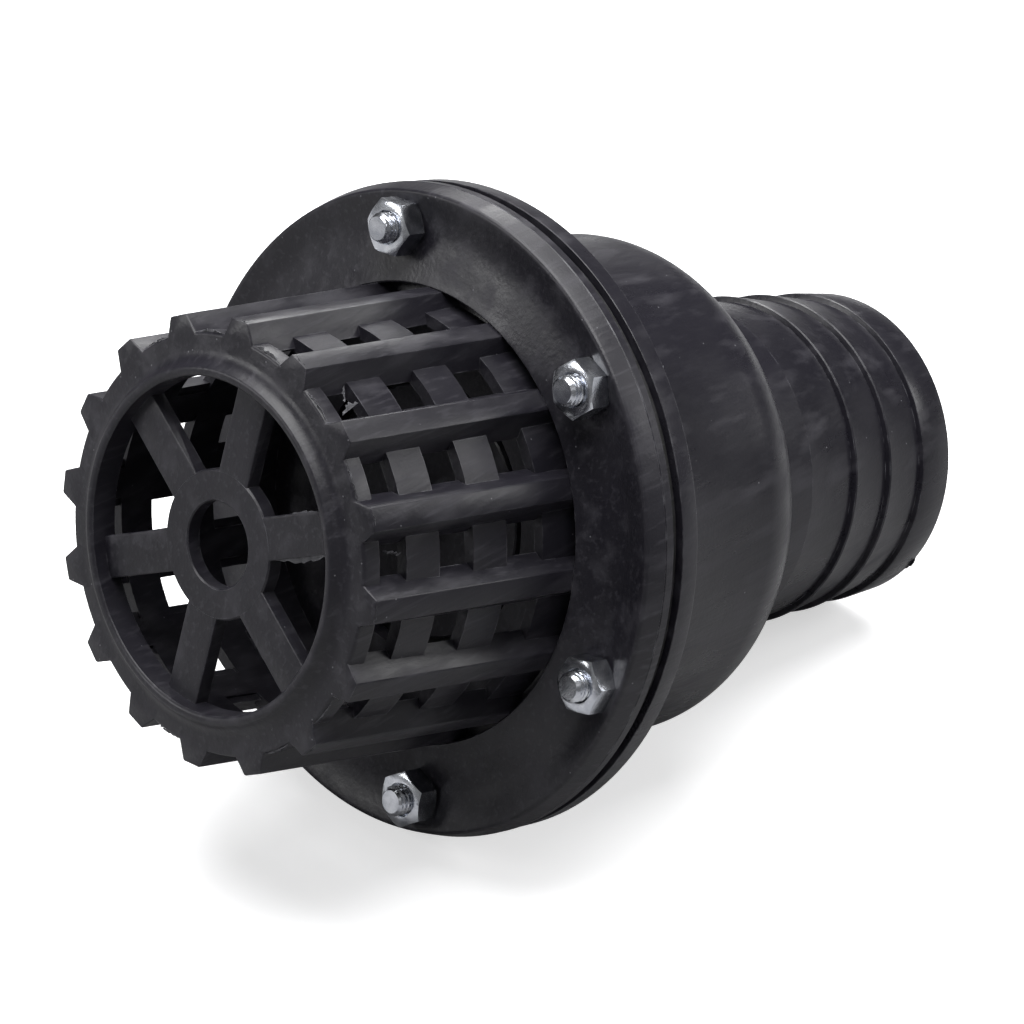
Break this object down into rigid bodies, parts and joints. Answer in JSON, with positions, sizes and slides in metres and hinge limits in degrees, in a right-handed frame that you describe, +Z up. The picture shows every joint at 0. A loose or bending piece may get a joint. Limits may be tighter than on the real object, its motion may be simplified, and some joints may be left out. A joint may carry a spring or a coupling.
{
  "type": "foot valve",
  "caption": "Plastic foot valve with a ribbed strainer basket, bolted flanges, a domed body with a barbed hose tail, and a hinged rubber flap inside.",
  "frame": {"origin": "centre of the bounding box, on the surface that the valve lies on", "axes": "+X runs from the strainer towards the hose tail and is level, +Z is up; the valve lies on the rim of its body's flange and the end of its tail, so its own axis dips 16.12 degrees towards +X"},
  "size_m": [0.187, 0.1264, 0.1236],
  "materials": {
    "black_plastic": "satin, slightly scuffed",
    "black_rubber": "matt",
    "plated_steel": "bright zinc plate",
    "cast_iron": "as cast"
  },
  "bodies": {
    "root": {"strainer_basket": "black_plastic", "valve_body": "black_plastic", "flange_gasket": "black_rubber", "hinge_tongue": "black_rubber", "flange_bolt_1": "plated_steel", "flange_bolt_2": "plated_steel", "flange_bolt_3": "plated_steel", "flange_bolt_4": "plated_steel", "flange_bolt_5": "plated_steel", "flange_bolt_6": "plated_steel", "flange_nut_1": "plated_steel", "flange_nut_2": "plated_steel", "flange_nut_3": "plated_steel", "flange_nut_4": "plated_steel", "flange_nut_5": "plated_steel", "flange_nut_6": "plated_steel"},
    "flap": {"flap_disc": "black_rubber", "flap_weight": "cast_iron", "flap_plate": "black_plastic", "flap_screw": "plated_steel", "flap_nut": "plated_steel"}
  },
  "joints": [
    {"name": "flap_hinge", "type": "hinge", "parent": "root", "child": "flap", "pos_m": [-0.01679, -0.00733, 0.09514], "axis": [-0.0577, -0.9781, -0.1997], "range_deg": [0, 60], "stiffness_Nm_per_rad": 0.06, "springref_deg": -11.46, "deforming": ["hinge_tongue"]}
  ]
}
